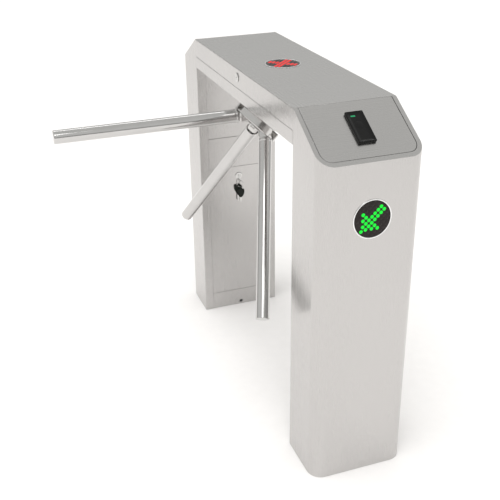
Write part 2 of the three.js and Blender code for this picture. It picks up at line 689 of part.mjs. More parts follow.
// Slotted light barrier that reads the sensor disc, on its own bracket.
function countSensor() {
  const [x0, x1] = [6, 18];
  const high = SHAFT_TOP;
  return join(
    block(x0, x1, -84, -74, high, PLATE_HIGH - GAP),
    block(x0, x1, -84, -24, high, SENSOR_HIGH - 2),
    block(x0, x1, -44, -35, high, SENSOR_LOW + 6),
    block(x0, x1, -44, -24, SENSOR_LOW + 2, SENSOR_LOW + 6));
}

piece('mechanism_frame', mechanismFrame(), plated());
piece('bearing_housing', bearingHousing(), plated(), rotorFrame);
piece('lower_bearing', bearing(1), polished(), rotorFrame);
piece('upper_bearing', bearing(PLATE_LOW + 0.5), polished(), rotorFrame);
piece('solenoid_a', solenoid(), plated(), rotorFrame);
piece('solenoid_b', mirrored(solenoid()), plated(), rotorFrame);
piece('plunger_a', plunger(), polished(), rotorFrame);
piece('plunger_b', mirrored(plunger()), polished(), rotorFrame);
piece('pawl_a', pawl(), plated(), rotorFrame);
piece('pawl_b', mirrored(pawl()), plated(), rotorFrame);
piece('centring_lever', centringLever(), plated(), rotorFrame);
piece('centring_roller', centringRoller(), polished(), rotorFrame);
piece('count_sensor', countSensor(), blackPlastic(), rotorFrame);

// ---- electronics in the beam --------------------------------------------------------------

const TRAY_FLOOR = BEAM_BOTTOM + SHEET + GAP;

function controlBoard() {
  const boardZ = TRAY_FLOOR + 8;
  const pillars = [[-82, -352], [82, -352], [-82, -208], [82, -208]].map(([x, y]) =>
    block(x - 4, x + 4, y - 4, y + 4, TRAY_FLOOR, boardZ + 1));
  return join(
    block(-90, 90, -360, -200, boardZ, boardZ + 2), ...pillars,
    block(-30, 20, -300, -250, boardZ + 1, boardZ + 6),
    block(-86, -74, -340, -220, boardZ + 1, boardZ + 16),
    block(60, 84, -335, -290, boardZ + 1, boardZ + 22),
    block(35, 75, -270, -225, boardZ + 1, boardZ + 12));
}

function powerSupply() {
  const [x, y0, y1, top] = [55, 215, 350, TRAY_FLOOR + 48];
  const vents = [0, 1, 2, 3, 4].map((k) =>
    block(-x + 15, x - 15, y0 + 25 + k * 20, y0 + 31 + k * 20, top - 3, top + 1));
  return cut(join(block(-x, x, y0, y1, TRAY_FLOOR, top),
    block(-x + 20, x - 20, y0 - 12, y1 + 12, TRAY_FLOOR, TRAY_FLOOR + SHEET)), ...vents);
}

piece('control_board', controlBoard(), circuitGreen());
piece('power_supply', powerSupply(), aluminium());

export default turnstile;
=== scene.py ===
import json
import math

import bmesh
import bpy
from mathutils import Matrix, Vector


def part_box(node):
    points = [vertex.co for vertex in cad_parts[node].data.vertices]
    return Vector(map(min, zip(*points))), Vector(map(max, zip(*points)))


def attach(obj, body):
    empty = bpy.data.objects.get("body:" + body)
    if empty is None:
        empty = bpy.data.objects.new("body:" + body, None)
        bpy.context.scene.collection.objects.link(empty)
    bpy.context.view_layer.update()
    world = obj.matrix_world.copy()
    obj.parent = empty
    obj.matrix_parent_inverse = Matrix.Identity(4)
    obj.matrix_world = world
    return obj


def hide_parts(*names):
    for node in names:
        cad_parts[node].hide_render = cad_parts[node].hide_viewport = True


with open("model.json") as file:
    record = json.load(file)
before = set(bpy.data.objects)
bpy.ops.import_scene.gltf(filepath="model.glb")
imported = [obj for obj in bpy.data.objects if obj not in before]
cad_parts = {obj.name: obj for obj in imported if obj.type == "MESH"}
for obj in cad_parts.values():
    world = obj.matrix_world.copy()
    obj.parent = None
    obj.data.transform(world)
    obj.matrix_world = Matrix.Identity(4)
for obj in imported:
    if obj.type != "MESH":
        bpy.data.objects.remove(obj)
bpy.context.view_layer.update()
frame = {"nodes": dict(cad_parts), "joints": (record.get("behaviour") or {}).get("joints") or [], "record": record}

MM = 0.001

# ---- sizes, from the frame where it has them ------------------------------------------------

shell_low, shell_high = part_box("cabinet_shell")
lid_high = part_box("top_lid")[1]
tray_low, tray_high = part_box("beam_tray")
door_low, door_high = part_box("near_door")
mid_low, mid_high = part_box("near_mid_panel")
upper_low, upper_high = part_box("near_upper_panel")
kick_low, kick_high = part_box("near_kick_panel")

SEAM = 0.3 * MM
SHEET = 2 * MM
MIDDLE_X = (shell_low.x + shell_high.x) / 2
HALF_W = (shell_high.x - shell_low.x) / 2
HALF_L = shell_high.y
HEIGHT = lid_high.z
INNER_Y = lid_high.y + SEAM
BEAM_BOTTOM = tray_low.z
BAND_BOTTOM = tray_high.z + 2 * SEAM
SLOPE_DROP = 99 * MM
PILLAR_DEPTH = HALF_L - INNER_Y
SLOPE = math.atan2(SLOPE_DROP, PILLAR_DEPTH)
CORNER_R = 40 * MM
BORDER = 12 * MM
RETURN = 30 * MM
LEDGE = 8 * MM
FOLD = 12 * MM
BEND_R = 2.2 * MM
MERGE = 0.02 * MM              # corners of neighbouring sheets closer than this are one

LENS_R = 49 * MM
LAMP_HOLE_R = LENS_R + 2.3 * MM
LAMP_Z = 774 * MM
LED_PITCH = 11.3 * MM
LED_R = 4.9 * MM
LOCK_FACE_R = 13.5 * MM
LOCK_HOLE_R = 8.3 * MM
LID_LOCK_Z = 994 * MM
DOOR_LOCK_Z = 525 * MM
READER_X = 3 * MM
READER_UP_SLOPE = 107 * MM

ARM_R = 19 * MM
ARM_LENGTH = 617 * MM
HUB_R = 75 * MM
HUB_BORE_R = 15.35 * MM
HUB_NEAR = 25 * MM
HUB_FAR = 51 * MM
SLOT_HALF = 17 * MM
SLOT_DEPTH = 24 * MM
ARM_LEAN = math.pi / 4

CABINET = Matrix.Translation((MIDDLE_X, 0, 0))
ENDS = {"near": Matrix.Identity(4), "far": Matrix.Rotation(math.pi, 4, "Z")}
spin = next(j for j in frame["joints"] if j["name"] == "rotor_spin")
axis = Vector(spin["axis"])
ROTOR = Matrix.Translation(spin["pos_m"]) @ Matrix(
    (Vector((0, 1, 0)).cross(axis), Vector((0, 1, 0)), axis)).transposed().to_4x4()
ON_SLOPE = Matrix.Translation((0, -INNER_Y, HEIGHT)) @ Matrix.Rotation(SLOPE, 4, "X")

# ---- materials ------------------------------------------------------------------------------


class Nodes:
    """A material's node tree, with short calls for what the materials below repeat."""

    def __init__(self, name):
        self.material = bpy.data.materials.new(name)
        self.material.use_nodes = True
        self.tree = self.material.node_tree
        self.shader = self.tree.nodes["Principled BSDF"]
        self.place = self.add("ShaderNodeTexCoord").outputs["Object"]

    def add(self, kind, **inputs):
        node = self.tree.nodes.new(kind)
        for key, value in inputs.items():
            self.feed(node.inputs[key.replace("_", " ")], value)
        return node

    def feed(self, socket, value):
        if isinstance(value, bpy.types.NodeSocket):
            self.tree.links.new(value, socket)
        else:
            socket.default_value = value

    def set(self, **values):
        for key, value in values.items():
            self.feed(self.shader.inputs[key.replace("_", " ")], value)

    def noise(self, stretch, detail=3.0, rotation=(0, 0, 0)):
        mapping = self.add("ShaderNodeMapping", Vector=self.place, Scale=stretch,
                           Rotation=rotation)
        return self.add("ShaderNodeTexNoise", Vector=mapping.outputs["Vector"], Scale=1.0,
                        Detail=detail, Roughness=0.6).outputs["Fac"]

    def between(self, value, low, high, start=0.3, end=0.7):
        ranged = self.add("ShaderNodeMapRange", Value=value)
        ranged.inputs["From Min"].default_value = start
        ranged.inputs["From Max"].default_value = end
        ranged.inputs["To Min"].default_value = low
        ranged.inputs["To Max"].default_value = high
        return ranged.outputs["Result"]

    def tint(self, value, dark, light):
        ramp = self.add("ShaderNodeValToRGB", Fac=value)
        for stop, place, tone in zip(ramp.color_ramp.elements, (0.3, 0.7), (dark, light)):
            stop.position = place
            stop.color = (*tone, 1)
        return ramp.outputs["Color"]

    def bump(self, height, strength, distance):
        node = self.add("ShaderNodeBump", Height=height, Strength=strength, Distance=distance)
        self.set(Normal=node.outputs["Normal"])


def scaled(tone, share):
    return tuple(channel * share for channel in tone)


GRAIN_ACROSS = 2600.0          # brushing marks per metre, across the grain
GRAIN_ALONG = 9.0


def brushed_steel(name, along, tone=(0.561, 0.549, 0.541), roughness=0.26):
    """Hairline stainless sheet. along is the axis that its brushing marks follow."""
    made = Nodes(name)
    stretch = [GRAIN_ACROSS] * 3
    stretch["XYZ".index(along)] = GRAIN_ALONG
    grain = made.noise(stretch, 4.0)
    smudge = made.noise((5.0, 5.0, 4.0), 3.0)
    mixed = made.add("ShaderNodeMath", Value=grain)
    mixed.operation = "MULTIPLY_ADD"
    mixed.inputs[1].default_value = 0.6
    made.feed(mixed.inputs[2], made.between(smudge, 0.1, 0.3))
    made.set(Metallic=1.0, Roughness=made.between(mixed.outputs[0], roughness - 0.06,
                                                  roughness + 0.07),
             Base_Color=made.tint(grain, scaled(tone, 0.98), scaled(tone, 1.02)))
    made.bump(grain, 0.05, 0.03 * MM)
    return made.material


def chrome(name, tone=(0.60, 0.592, 0.585), roughness=0.07):
    """Polished tube: mirror-like, with faint handling smears and fine scratches."""
    made = Nodes(name)
    smear = made.noise((16.0, 16.0, 16.0), 4.0)
    scratch = made.noise((260.0, 260.0, 2600.0), 2.0, (0.3, 0.5, 0))
    made.set(Metallic=1.0, Roughness=made.between(smear, roughness - 0.03, roughness + 0.06),
             Base_Color=made.tint(smear, scaled(tone, 0.97), scaled(tone, 1.02)))
    made.bump(scratch, 0.03, 0.02 * MM)
    return made.material


def plated(name, tone, roughness):
    """Zinc plate or ground metal, with a fine mottle."""
    made = Nodes(name)
    mottle = made.noise((120.0, 120.0, 120.0), 4.0)
    made.set(Metallic=1.0, Roughness=made.between(mottle, roughness - 0.08, roughness + 0.1),
             Base_Color=made.tint(mottle, scaled(tone, 0.86), scaled(tone, 1.08)))
    made.bump(mottle, 0.08, 0.05 * MM)
    return made.material


def plastic(name, tone, roughness, sheen=0.3, texture=900.0):
    """Moulded plastic with a fine spark-eroded texture."""
    made = Nodes(name)
    pebble = made.noise((texture,) * 3, 2.0)
    wear = made.noise((40.0, 40.0, 40.0), 3.0)
    made.set(Roughness=made.between(wear, roughness - 0.05, roughness + 0.08),
             Base_Color=made.tint(wear, scaled(tone, 0.85), scaled(tone, 1.15)),
             Specular_IOR_Level=sheen)
    made.bump(pebble, 0.3 * roughness, 0.04 * MM)
    return made.material


def glowing(name, tone, strength):
    """A lit diode, with a faint mottle in its glow."""
    made = Nodes(name)
    glow = made.noise((300.0, 300.0, 300.0), 1.0)
    made.set(Base_Color=made.tint(glow, scaled(tone, 0.2), scaled(tone, 0.3)),
             Roughness=0.3, Specular_IOR_Level=0.2,
             Emission_Color=made.tint(glow, scaled(tone, 0.8), tone),
             Emission_Strength=strength)
    return made.material


def circuit(name):
    """Green solder mask with a faint weave of tracks."""
    made = Nodes(name)
    tracks = made.noise((700.0, 60.0, 60.0), 2.0)
    made.set(Base_Color=made.tint(tracks, (0.015, 0.10, 0.045), (0.03, 0.19, 0.08)),
             Roughness=made.between(tracks, 0.3, 0.5))
    made.bump(tracks, 0.2, 0.05 * MM)
    return made.material


STEEL_UP = brushed_steel("brushed_upright", "Z")
STEEL_ALONG = brushed_steel("brushed_lengthways", "Y")
STEEL_ACROSS = brushed_steel("brushed_across", "X")
CHROME = chrome("polished_tube")
HUB_METAL = chrome("polished_hub", (0.62, 0.61, 0.60), 0.14)
LOCK_METAL = chrome("lock_chrome", (0.66, 0.655, 0.645), 0.14)
RING_METAL = plated("bezel_metal", (0.88, 0.88, 0.88), 0.22)
LENS = plastic("smoked_lens", (0.020, 0.016, 0.015), 0.2, 0.2)
DARK_DIODE = plastic("unlit_diode", (0.024, 0.019, 0.018), 0.3, 0.2)
READER_BLACK = plastic("reader_gloss", (0.006, 0.006, 0.006), 0.12, 0.22)
KEY_BLACK = plastic("key_moulding", (0.013, 0.016, 0.013), 0.5, 0.2)
GREEN_LED = glowing("lit_green", (0.006, 0.86, 0.045), 1.0)
RED_LED = glowing("lit_red", (0.80, 0.014, 0.014), 1.0)
STATUS_GREEN = glowing("status_green", (0.03, 0.36, 0.15), 0.8)

CARRIED = {                    # finish of each CAD node that stays, by its material slot
    "brushed_sheet": STEEL_UP,
    "polished_steel": CHROME,
    "plated_steel": plated("zinc_plate", (0.56, 0.57, 0.58), 0.42),
    "ground_steel": plated("ground_steel", (0.66, 0.66, 0.67), 0.24),
    "lock_chrome": LOCK_METAL,
    "bezel_metal": RING_METAL,
    "lamp_lens": LENS,
    "reader_black": READER_BLACK,
    "key_black": KEY_BLACK,
    "circuit_board": circuit("solder_mask"),
    "aluminium_case": plated("aluminium_case", (0.70, 0.71, 0.71), 0.38),
}

# ---- shapes ---------------------------------------------------------------------------------


def filleted(points, radius, steps=5):
    """A closed outline whose corners are rounded. radius is one size, or one for each corner."""
    radii = radius if isinstance(radius, (list, tuple)) else [radius] * len(points)
    corners = [Vector(p) for p in points]
    outline = []
    for i, (corner, size) in enumerate(zip(corners, radii)):
        before = corners[i - 1] - corner
        after = corners[(i + 1) % len(corners)] - corner
        half = before.angle(after) / 2
        if size <= 0 or half > math.radians(88):
            outline.append(corner)
            continue
        reach = min(size / math.tan(half), 0.49 * before.length, 0.49 * after.length)
        start, end = corner + before.normalized() * reach, corner + after.normalized() * reach
        centre = corner + (before.normalized() + after.normalized()).normalized() * (
            reach / math.cos(half))
        arm, sweep = start - centre, (start - centre).angle_signed(end - centre)
        outline += [centre + Matrix.Rotation(-sweep * k / steps, 2) @ arm
                    for k in range(steps + 1)]
    return outline


def circle(radius, centre=(0, 0), segments=64):
    return [Vector((centre[0] + radius * math.cos(a), centre[1] + radius * math.sin(a)))
            for a in (2 * math.pi * k / segments for k in range(segments))]


def rectangle(half_x, half_y, radius=0.0, steps=6):
    corners = [(-half_x, -half_y), (half_x, -half_y), (half_x, half_y), (-half_x, half_y)]
    return filleted(corners, radius, steps)


def area(loop):
    return sum(a.x * b.y - b.x * a.y for a, b in zip(loop, loop[1:] + loop[:1])) / 2


def inset(loop, depth):
    """The loop moved to its left by depth: inward on an anticlockwise outline."""
    moved = []
    for i, point in enumerate(loop):
        first = (point - loop[i - 1]).normalized()
        second = (loop[(i + 1) % len(loop)] - point).normalized()
        left, right = Vector((-first.y, first.x)), Vector((-second.y, second.x))
        moved.append(point + (left + right) * depth / max(0.3, 1 + left.dot(right)))
    return moved


def loft(bm, rings, caps=True):
    """Joins closed rings of equal length, in order, and closes both ends."""
    rows = [[bm.verts.new(p) for p in ring] for ring in rings]
    for row, following in zip(rows, rows[1:]):
        for i in range(len(row)):
            j = (i + 1) % len(row)
            bm.faces.new((row[i], row[j], following[j], following[i]))
    if caps:
        bm.faces.new(rows[0][::-1])
        bm.faces.new(rows[-1])
    return rows


def slab(outline, low, high, edge=0.5 * MM, holes=(), steps=3):
    """A flat solid between two heights, its edges rounded, with holes through it."""
    bm = bmesh.new()
    ends = ([], [])
    for loop, turn in [(outline, 1), *((hole, -1) for hole in holes)]:
        loop = [Vector(p) for p in loop]
        if area(loop) * turn < 0:
            loop.reverse()
        quarter = [math.pi / 2 * k / steps for k in range(steps + 1)]
        levels = [(edge * (1 - math.sin(a)), low + edge * (1 - math.cos(a))) for a in quarter]
        levels += [(edge * (1 - math.cos(a)), high - edge + edge * math.sin(a))
                   for a in quarter]
        rows = loft(bm, [[Vector((*p, z)) for p in inset(loop, depth)]
                         for depth, z in levels], caps=False)
        for end, row in zip(ends, (rows[0], rows[-1])):
            end += [bm.edges.get((a, b)) for a, b in zip(row, row[1:] + row[:1])]
    for end in ends:
        bmesh.ops.triangle_fill(bm, edges=end, use_beauty=True, use_dissolve=False)
    bmesh.ops.recalc_face_normals(bm, faces=bm.faces)
    return bm


def turned(profile, segments=64):
    """A solid of revolution about Z. The profile starts and ends on the axis."""
    bm = bmesh.new()
    inner = [p for p in profile if p[0] > 0]
    rings = [[Vector((r * math.cos(a), r * math.sin(a), z))
              for a in (2 * math.pi * k / segments for k in range(segments))]
             for r, z in inner]
    rows = loft(bm, rings, caps=False)
    for row, (radius, z), flip in ((rows[0], profile[0], False), (rows[-1], profile[-1], True)):
        if radius == 0:
            tip = bm.verts.new((0, 0, z))
            for a, b in zip(row, row[1:] + row[:1]):
                bm.faces.new((b, a, tip) if not flip else (a, b, tip))
    if profile[0][0] > 0:
        for a, b, c, d in zip(rows[-1], rows[-1][1:] + rows[-1][:1],
                              rows[0][1:] + rows[0][:1], rows[0]):
            bm.faces.new((a, b, c, d))
    bmesh.ops.recalc_face_normals(bm, faces=bm.faces)
    return bm


def dome(radius, height, segments=14, rings=3):
    """A shallow button standing on z = 0."""
    quarter = [math.pi / 2 * k / (rings + 1) for k in range(rings + 1)]
    return turned([(0, 0)] + [(radius * math.cos(a), height * math.sin(a)) for a in quarter]
                  + [(0, height)], segments)


def brick(low, high, edge=0.5 * MM):
    """A box with rounded edges."""
    bm = bmesh.new()
    size = [b - a for a, b in zip(low, high)]
    centre = [(a + b) / 2 for a, b in zip(low, high)]
    bmesh.ops.create_cube(bm, size=1, matrix=Matrix.Translation(centre)
                          @ Matrix.Diagonal((*size, 1)))
    bmesh.ops.bevel(bm, geom=bm.edges[:], offset=edge, segments=2, profile=0.5,
                    affect="EDGES")
    return bm


def moved(bm, matrix):
    bmesh.ops.transform(bm, matrix=matrix, verts=bm.verts)
    return bm


def together(*parts):
    """One mesh that holds several."""
    whole = bmesh.new()
    for part in parts:
        mesh = bpy.data.meshes.new("part")
        part.to_mesh(mesh)
        part.free()
        whole.from_mesh(mesh)
        bpy.data.meshes.remove(mesh)
    return whole


def folded(bm, thickness=SHEET, edge=0.45 * MM):
    """Sheet metal: gives a surface its thickness, behind its faces, and rounds its edges."""
    mesh = bpy.data.meshes.new("surface")
    bm.to_mesh(mesh)
    bm.free()
    holder = bpy.data.objects.new("surface", mesh)
    bpy.context.scene.collection.objects.link(holder)
    solidify = holder.modifiers.new("thickness", "SOLIDIFY")
    solidify.thickness = thickness
    solidify.offset = -1
    solidify.use_even_offset = True
    bevel = holder.modifiers.new("edges", "BEVEL")
    bevel.width = edge
    bevel.segments = 2
    bevel.limit_method = "ANGLE"
    bevel.angle_limit = math.radians(50)
    evaluated = holder.evaluated_get(bpy.context.evaluated_depsgraph_get())
    made = bmesh.new()
    made.from_mesh(evaluated.to_mesh())
    evaluated.to_mesh_clear()
    bpy.data.objects.remove(holder)
    bpy.data.meshes.remove(mesh)
    return made


def flatten_normals(shown):
    """Weights the normals by area, so that rounded edges don't shade the flats beside them."""
    weighting = shown.modifiers.new("normals", "WEIGHTED_NORMAL")
    weighting.keep_sharp = True
    weighting.weight = 100
    graph = bpy.context.evaluated_depsgraph_get()
    made = bpy.data.meshes.new_from_object(shown.evaluated_get(graph), depsgraph=graph,
                                           preserve_all_data_layers=True)
    shown.modifiers.clear()
    shown.data = made


def piece(name, bm, material, body, replaces=(), at=CABINET, sharp=40):
    """Turns a mesh into a named piece that rides on a body."""
    mesh = bpy.data.meshes.new(name)
    bmesh.ops.remove_doubles(bm, verts=bm.verts, dist=1e-7)
    bm.to_mesh(mesh)
    bm.free()
    mesh.transform(at)
    mesh.materials.append(material)
    mesh.shade_smooth()
    mesh.set_sharp_from_angle(angle=math.radians(sharp))
    made = bpy.data.objects.new(name, mesh)
    bpy.context.scene.collection.objects.link(made)
    flatten_normals(made)
    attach(made, body)
    if replaces:
        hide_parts(*replaces)
    return made


# ---- cabinet shell --------------------------------------------------------------------------


def slope_height(y):
    return HEIGHT - max(0.0, abs(y) - INNER_Y) * SLOPE_DROP / PILLAR_DEPTH


def end_path(margin, steps=12):
    """Plan round the near end, a margin inside the outer face, from -X to +X."""
    radius = CORNER_R - margin
    centre_x, centre_y = HALF_W - CORNER_R, -HALF_L + CORNER_R
    points = [Vector((-HALF_W + margin, -INNER_Y))]
    for side, start in ((-1, math.pi), (1, 1.5 * math.pi)):
        points += [Vector((side * centre_x + radius * math.cos(a),
                           centre_y + radius * math.sin(a)))
                   for a in (start + math.pi / 2 * k / steps for k in range(steps + 1))]
    return points + [Vector((HALF_W - margin, -INNER_Y))]


def half_circle(centre, radius, clockwise, steps=16):
    """The half towards -X of a 2D plane, from its top to its bottom or the other way."""
    angles = [math.pi / 2 + math.pi * k / steps for k in range(steps + 1)]
    loop = [Vector((centre[0] + radius * math.cos(a), centre[1] + radius * math.sin(a)))
            for a in angles]
    return loop if not clockwise else loop[::-1]


def bridge(bm, row, following):
    """Faces between two open rows of vertices."""
    for i in range(len(row) - 1):
        bm.faces.new((row[i], row[i + 1], following[i + 1], following[i]))


def strip(bm, path, low, high):
    """Upright faces along a plan path. low and high are heights or functions of y."""
    def level(value, point):
        return value(point.y) if callable(value) else value
    bridge(bm, *[[bm.verts.new((p.x, p.y, level(z, p))) for p in path] for z in (low, high)])


def side_half(bm, side, with_lock):
    """Near half of a side wall: the pillar's flank, and the band as far as mid-length."""
    inner = -INNER_Y - BEND_R
    corner = -HALF_L + CORNER_R
    top = HEIGHT - SHEET - SEAM
    outline = [(0, BAND_BOTTOM), (inner, BAND_BOTTOM), (inner, 0), (corner, 0),
               (corner, slope_height(corner)), (-INNER_Y, HEIGHT), (-INNER_Y, top), (0, top)]
    loop = [Vector(p) for p in outline]
    if with_lock:
        loop += half_circle((0, LID_LOCK_Z), LOCK_HOLE_R, clockwise=False)
    verts = [bm.verts.new((side * HALF_W, y, z)) for y, z in loop]
    bm.faces.new(verts if side > 0 else verts[::-1])


def end_wall(bm):
    """The flat of the near end, in two halves round the lamp's hole."""
    x, y = HALF_W - CORNER_R, -HALF_L
    top = slope_height(y)
    left = [Vector(p) for p in ((0, top), (-x, top), (-x, 0), (0, 0))]
    left += half_circle((0, LAMP_Z), LAMP_HOLE_R, clockwise=True)
    for side in (-1, 1):
        verts = [bm.verts.new((p.x * -side, y, p.y)) for p in left]
        bm.faces.new(verts if side < 0 else verts[::-1])


def jamb_path(side):
    """Plan of the fold at a pillar's open edge: bend, return, web and ledge."""
    quarter = [math.pi / 2 * k / 4 for k in range(5)]
    x, y = HALF_W - BEND_R, -INNER_Y - BEND_R
    bend = [Vector((x + BEND_R * math.cos(a), y + BEND_R * math.sin(a))) for a in quarter]
    jamb, stop = HALF_W - RETURN, -INNER_Y - FOLD - SEAM
    path = bend + [Vector((jamb, -INNER_Y)), Vector((jamb, stop)),
                   Vector((jamb - LEDGE, stop))]
    return [Vector((side * p.x, p.y)) for p in path]


def shell_end(lock_side):
    """The near end's outer skin, with the jamb folds and the border round the slope."""
    bm = bmesh.new()
    for side in (-1, 1):
        side_half(bm, side, with_lock=side == lock_side)
        path = jamb_path(side)
        strip(bm, path if side > 0 else path[::-1], 0.0, BAND_BOTTOM)
    rounds = end_path(0.0)
    corner = len(rounds) // 2
    strip(bm, rounds[1:corner], 0.0, slope_height)
    strip(bm, rounds[corner:-1], 0.0, slope_height)
    end_wall(bm)
    bridge(bm, *[[bm.verts.new((p.x, p.y, slope_height(p.y))) for p in path]
                 for path in (rounds, end_path(BORDER))])
    return bm


def shell():
    """Both ends, joined at mid-length and given their thickness."""
    bm = together(shell_end(-1), moved(shell_end(1), ENDS["far"]))
    bmesh.ops.remove_doubles(bm, verts=bm.verts, dist=MERGE)
    bmesh.ops.recalc_face_normals(bm, faces=bm.faces)
    end_face = min(bm.faces, key=lambda f: f.calc_center_median().y)
    if end_face.normal.y > 0:
        bmesh.ops.reverse_faces(bm, faces=bm.faces)
    return folded(bm, edge=0.8 * MM)


piece("shell_body", shell(), STEEL_UP, "cabinet", ["cabinet_shell"])

# ---- beam tray ------------------------------------------------------------------------------


def tray():
    """Channel under the beam, with the slanting hole that the shaft's housing passes."""
    bm = bmesh.new()
    length = INNER_Y - SEAM
    apex = Vector(spin["pos_m"]) - Vector((MIDDLE_X, 0, 0))
    hole_x = apex.x + (BEAM_BOTTOM - apex.z)
    hole_half = 33 * MM
    flat = HALF_W - BEND_R
    oval = [Vector((hole_x + hole_half * math.sqrt(2) * math.cos(a), -hole_half * math.sin(a)))
            for a in (math.pi * k / 24 for k in range(25))]
    loop = [Vector((-flat, 0)), Vector((-flat, -length)), Vector((flat, -length)),
            Vector((flat, 0))] + oval
    for end in (1, -1):
        verts = [bm.verts.new((p.x, p.y * end, BEAM_BOTTOM)) for p in loop]
        bm.faces.new(verts)
    top = BAND_BOTTOM - 4 * SEAM
    for side in (-1, 1):
        bend = [(flat + BEND_R * math.sin(a), BEAM_BOTTOM + BEND_R * (1 - math.cos(a)))
                for a in (math.pi / 2 * k / 4 for k in range(5))] + [(HALF_W, top)]
        rows = [[bm.verts.new((side * x, y, z)) for x, z in bend]
                for y in (-length, 0, length)]
        for row, following in zip(rows, rows[1:]):
            bridge(bm, row, following)
    bmesh.ops.remove_doubles(bm, verts=bm.verts, dist=MERGE)
    bmesh.ops.recalc_face_normals(bm, faces=bm.faces)
    low_face = min(bm.faces, key=lambda f: f.calc_center_median().z)
    if low_face.normal.z > 0:
        bmesh.ops.reverse_faces(bm, faces=bm.faces)
    return folded(bm, edge=0.6 * MM)


piece("tray_channel", tray(), STEEL_ALONG, "cabinet", ["beam_tray"])

# ---- panels and doors on the inner faces ----------------------------------------------------

# Panels are drawn in (x, z) and stood up with their outer face on y = -INNER_Y.
STAND_UP = Matrix.Translation((0, -INNER_Y, 0)) @ Matrix.Rotation(math.pi / 2, 4, "X")
PANEL_EDGE = 0.9 * MM


def panel(low, high, holes=()):
    """A flat sheet between two corners of a CAD box."""
    half_x = (high.x - low.x) / 2
    outline = [(-half_x, low.z), (half_x, low.z), (half_x, high.z), (-half_x, high.z)]
    return moved(slab(outline, 0, SHEET, PANEL_EDGE, holes), STAND_UP)


def door():
    """A pan: rounded face sheet, and a lip behind each edge. The top lip clears the cam."""
    half_x = (door_high.x - door_low.x) / 2
    lock_hole = circle(LOCK_HOLE_R, (0, DOOR_LOCK_Z), 32)
    face = panel(door_low, door_high, [lock_hole])
    back, front = -INNER_Y - FOLD, -INNER_Y - SHEET + 0.2 * MM
    wall, low, high = SHEET, door_low.z, door_high.z
    lips = [brick((-half_x, back, low), (-half_x + wall, front, high)),
            brick((half_x - wall, back, low), (half_x, front, high)),
            brick((-half_x + wall, back, low), (half_x - wall, front, low + wall)),
            brick((-half_x + wall, back, high - wall), (-9 * MM, front, high)),
            brick((45 * MM, back, high - wall), (half_x - wall, front, high))]
    return together(face, *lips)


# ---- locks ----------------------------------------------------------------------------------


def lock_face(depth):
    """Barrel, bezel with a rolled edge, recessed plug with a key slot, all about +Z."""
    rim = LOCK_FACE_R
    body = turned([(0, -depth), (7.8 * MM, -depth), (7.8 * MM, SEAM), (rim - 0.5 * MM, SEAM),
                   (rim, 0.9 * MM), (rim - 0.4 * MM, 1.7 * MM), (rim - 1.6 * MM, 2.4 * MM),
                   (rim - 3.2 * MM, 2.5 * MM), (7.2 * MM, 2.3 * MM), (6.7 * MM, 1.5 * MM),
                   (0, 1.5 * MM)], 48)
    half = rectangle(0.9 * MM, 4.0 * MM, 0.5 * MM, 3)
    plug = slab(circle(6.1 * MM, segments=40), 0.9 * MM, 2.3 * MM, 0.4 * MM, [half])
    return together(body, plug)


def keyway_shade():
    """Painted shade: a black card under the plug's slot, standing in for the shade deep in the key slot."""
    return slab(rectangle(1.2 * MM, 4.4 * MM, 0.5 * MM, 3), 1.2 * MM, 1.62 * MM, 0.05 * MM)


ON_DOOR = Matrix.Translation((0, -INNER_Y, DOOR_LOCK_Z)) @ Matrix.Rotation(-math.pi / 2, 4, "X")
ON_LANE_SIDE = Matrix.Translation((-HALF_W, 0, LID_LOCK_Z)) @ Matrix.Rotation(
    -math.pi / 2, 4, "Y")

for end, turn in ENDS.items():
    at = CABINET @ turn
    cable_hole = circle(6 * MM, (0, 12 * MM), 32)
    piece(f"{end}_panel_upper", panel(upper_low, upper_high), STEEL_UP, "cabinet",
          [f"{end}_upper_panel"], at)
    piece(f"{end}_panel_mid", panel(mid_low, mid_high), STEEL_UP, "cabinet",
          [f"{end}_mid_panel"], at)
    piece(f"{end}_panel_kick", panel(kick_low, kick_high, [cable_hole]), STEEL_UP, "cabinet",
          [f"{end}_kick_panel"], at)
    piece(f"{end}_door_pan", door(), STEEL_UP, f"{end}_door",
          [f"{end}_door"], at)
    piece(f"{end}_lock_face", moved(lock_face(14 * MM), ON_DOOR), LOCK_METAL, f"{end}_lock",
          [f"{end}_door_lock"], at)
    # painted shade: a black card that darkens the door lock's key slot
    piece(f"{end}_lock_keyway", moved(keyway_shade(), ON_DOOR), KEY_BLACK, f"{end}_lock",
          at=at)
piece("lid_lock_face", moved(lock_face(12 * MM), ON_LANE_SIDE), LOCK_METAL, "lid_lock",
      ["lid_lock"])
# painted shade: a black card that darkens the lid lock's key slot
piece("lid_lock_keyway", moved(keyway_shade(), ON_LANE_SIDE), KEY_BLACK, "lid_lock")

# ---- lid and slope panels -------------------------------------------------------------------


def lid():
    """Top sheet with the lamp's hole, a deep lip on one side and a shallow one by the lane."""
    outline = rectangle(HALF_W, INNER_Y - SEAM)
    sheet = slab(outline, HEIGHT - SHEET, HEIGHT, PANEL_EDGE, [circle(LAMP_HOLE_R)])
    lip_y, lip_high = INNER_Y - 15 * MM, HEIGHT - 1.8 * MM
    outer, inner = HALF_W - 3.2 * MM, HALF_W - 5.2 * MM
    lips = [brick((inner, -lip_y, HEIGHT - 13 * MM), (outer, lip_y, lip_high)),
            brick((-outer, -lip_y, HEIGHT - 5 * MM), (-inner, lip_y, lip_high))]
    return together(sheet, *lips)


def slope_panel():
    """Inset sheet on an end slope, drawn in the slope's own plane."""
    stretch = 1 / math.cos(SLOPE)
    inner = end_path(BORDER + 4 * SEAM)
    outline = [Vector((p.x, (p.y + INNER_Y) * stretch)) for p in inner]
    outline[0].y = outline[-1].y = -3 * SEAM
    return moved(slab(outline, -SHEET, 0, PANEL_EDGE), ON_SLOPE)


piece("lid_sheet", lid(), STEEL_ALONG, "lid", ["top_lid"])

# ---- card readers ---------------------------------------------------------------------------

READER_HALF = (24 * MM, 50 * MM)


